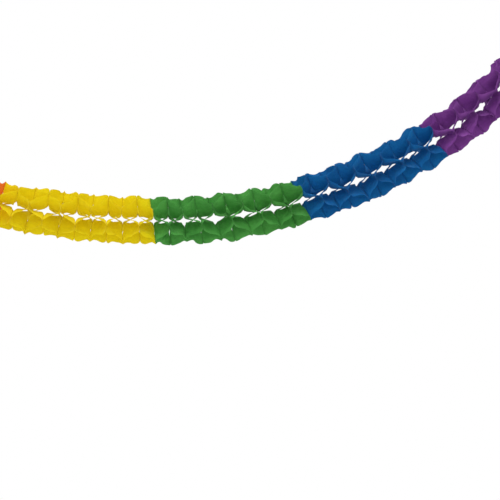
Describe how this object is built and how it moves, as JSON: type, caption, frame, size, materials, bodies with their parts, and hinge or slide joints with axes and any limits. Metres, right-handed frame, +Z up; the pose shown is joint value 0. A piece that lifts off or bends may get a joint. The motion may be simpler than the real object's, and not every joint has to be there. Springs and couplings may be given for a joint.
{
  "type": "paper garland",
  "caption": "Honeycomb garland of die-cut tissue sheets in rainbow colours, glued to each other at rim spots and pulled open, hanging in a long curve from punched card ends.",
  "frame": {"origin": "centre of the hanging hole of the left end card, on the card's outer face", "axes": "+X along the garland from its left end to its right end, +Z up, and -Y towards whoever looks at its front"},
  "size_m": [1.8958, 0.1188, 0.5073],
  "materials": {
    "tissue_red": "matt dyed tissue paper, a little see-through",
    "tissue_orange": "matt dyed tissue paper, a little see-through",
    "tissue_yellow": "matt dyed tissue paper, a little see-through",
    "tissue_green": "matt dyed tissue paper, a little see-through",
    "tissue_blue": "matt dyed tissue paper, a little see-through",
    "tissue_purple": "matt dyed tissue paper, a little see-through",
    "end_card": "plain matt card"
  },
  "bodies": {
    "root": {"left_end_card": "end_card", "red_sheet_1": "tissue_red", "red_sheet_2": "tissue_red", "red_sheet_3": "tissue_red", "red_sheet_4": "tissue_red", "red_sheet_5": "tissue_red", "red_sheet_6": "tissue_red", "red_sheet_7": "tissue_red", "red_sheet_8": "tissue_red", "red_sheet_9": "tissue_red", "orange_sheet_1": "tissue_orange", "orange_sheet_2": "tissue_orange", "orange_sheet_3": "tissue_orange", "orange_sheet_4": "tissue_orange", "orange_sheet_5": "tissue_orange", "orange_sheet_6": "tissue_orange", "orange_sheet_7": "tissue_orange", "orange_sheet_8": "tissue_orange", "orange_sheet_9": "tissue_orange", "orange_sheet_10": "tissue_orange", "yellow_sheet_1": "tissue_yellow", "yellow_sheet_2": "tissue_yellow", "yellow_sheet_3": "tissue_yellow", "yellow_sheet_4": "tissue_yellow", "yellow_sheet_5": "tissue_yellow", "yellow_sheet_6": "tissue_yellow", "yellow_sheet_7": "tissue_yellow", "yellow_sheet_8": "tissue_yellow", "yellow_sheet_9": "tissue_yellow", "yellow_sheet_10": "tissue_yellow", "green_sheet_1": "tissue_green", "green_sheet_2": "tissue_green", "green_sheet_3": "tissue_green", "green_sheet_4": "tissue_green", "green_sheet_5": "tissue_green", "green_sheet_6": "tissue_green", "green_sheet_7": "tissue_green", "green_sheet_8": "tissue_green", "green_sheet_9": "tissue_green", "green_sheet_10": "tissue_green", "blue_sheet_1": "tissue_blue", "blue_sheet_2": "tissue_blue", "blue_sheet_3": "tissue_blue", "blue_sheet_4": "tissue_blue", "blue_sheet_5": "tissue_blue", "blue_sheet_6": "tissue_blue", "blue_sheet_7": "tissue_blue", "blue_sheet_8": "tissue_blue", "blue_sheet_9": "tissue_blue", "blue_sheet_10": "tissue_blue", "purple_sheet_1": "tissue_purple", "purple_sheet_2": "tissue_purple", "purple_sheet_3": "tissue_purple", "purple_sheet_4": "tissue_purple", "purple_sheet_5": "tissue_purple", "purple_sheet_6": "tissue_purple", "purple_sheet_7": "tissue_purple", "purple_sheet_8": "tissue_purple", "purple_sheet_9": "tissue_purple", "right_end_card": "end_card"}
  },
  "joints": []
}
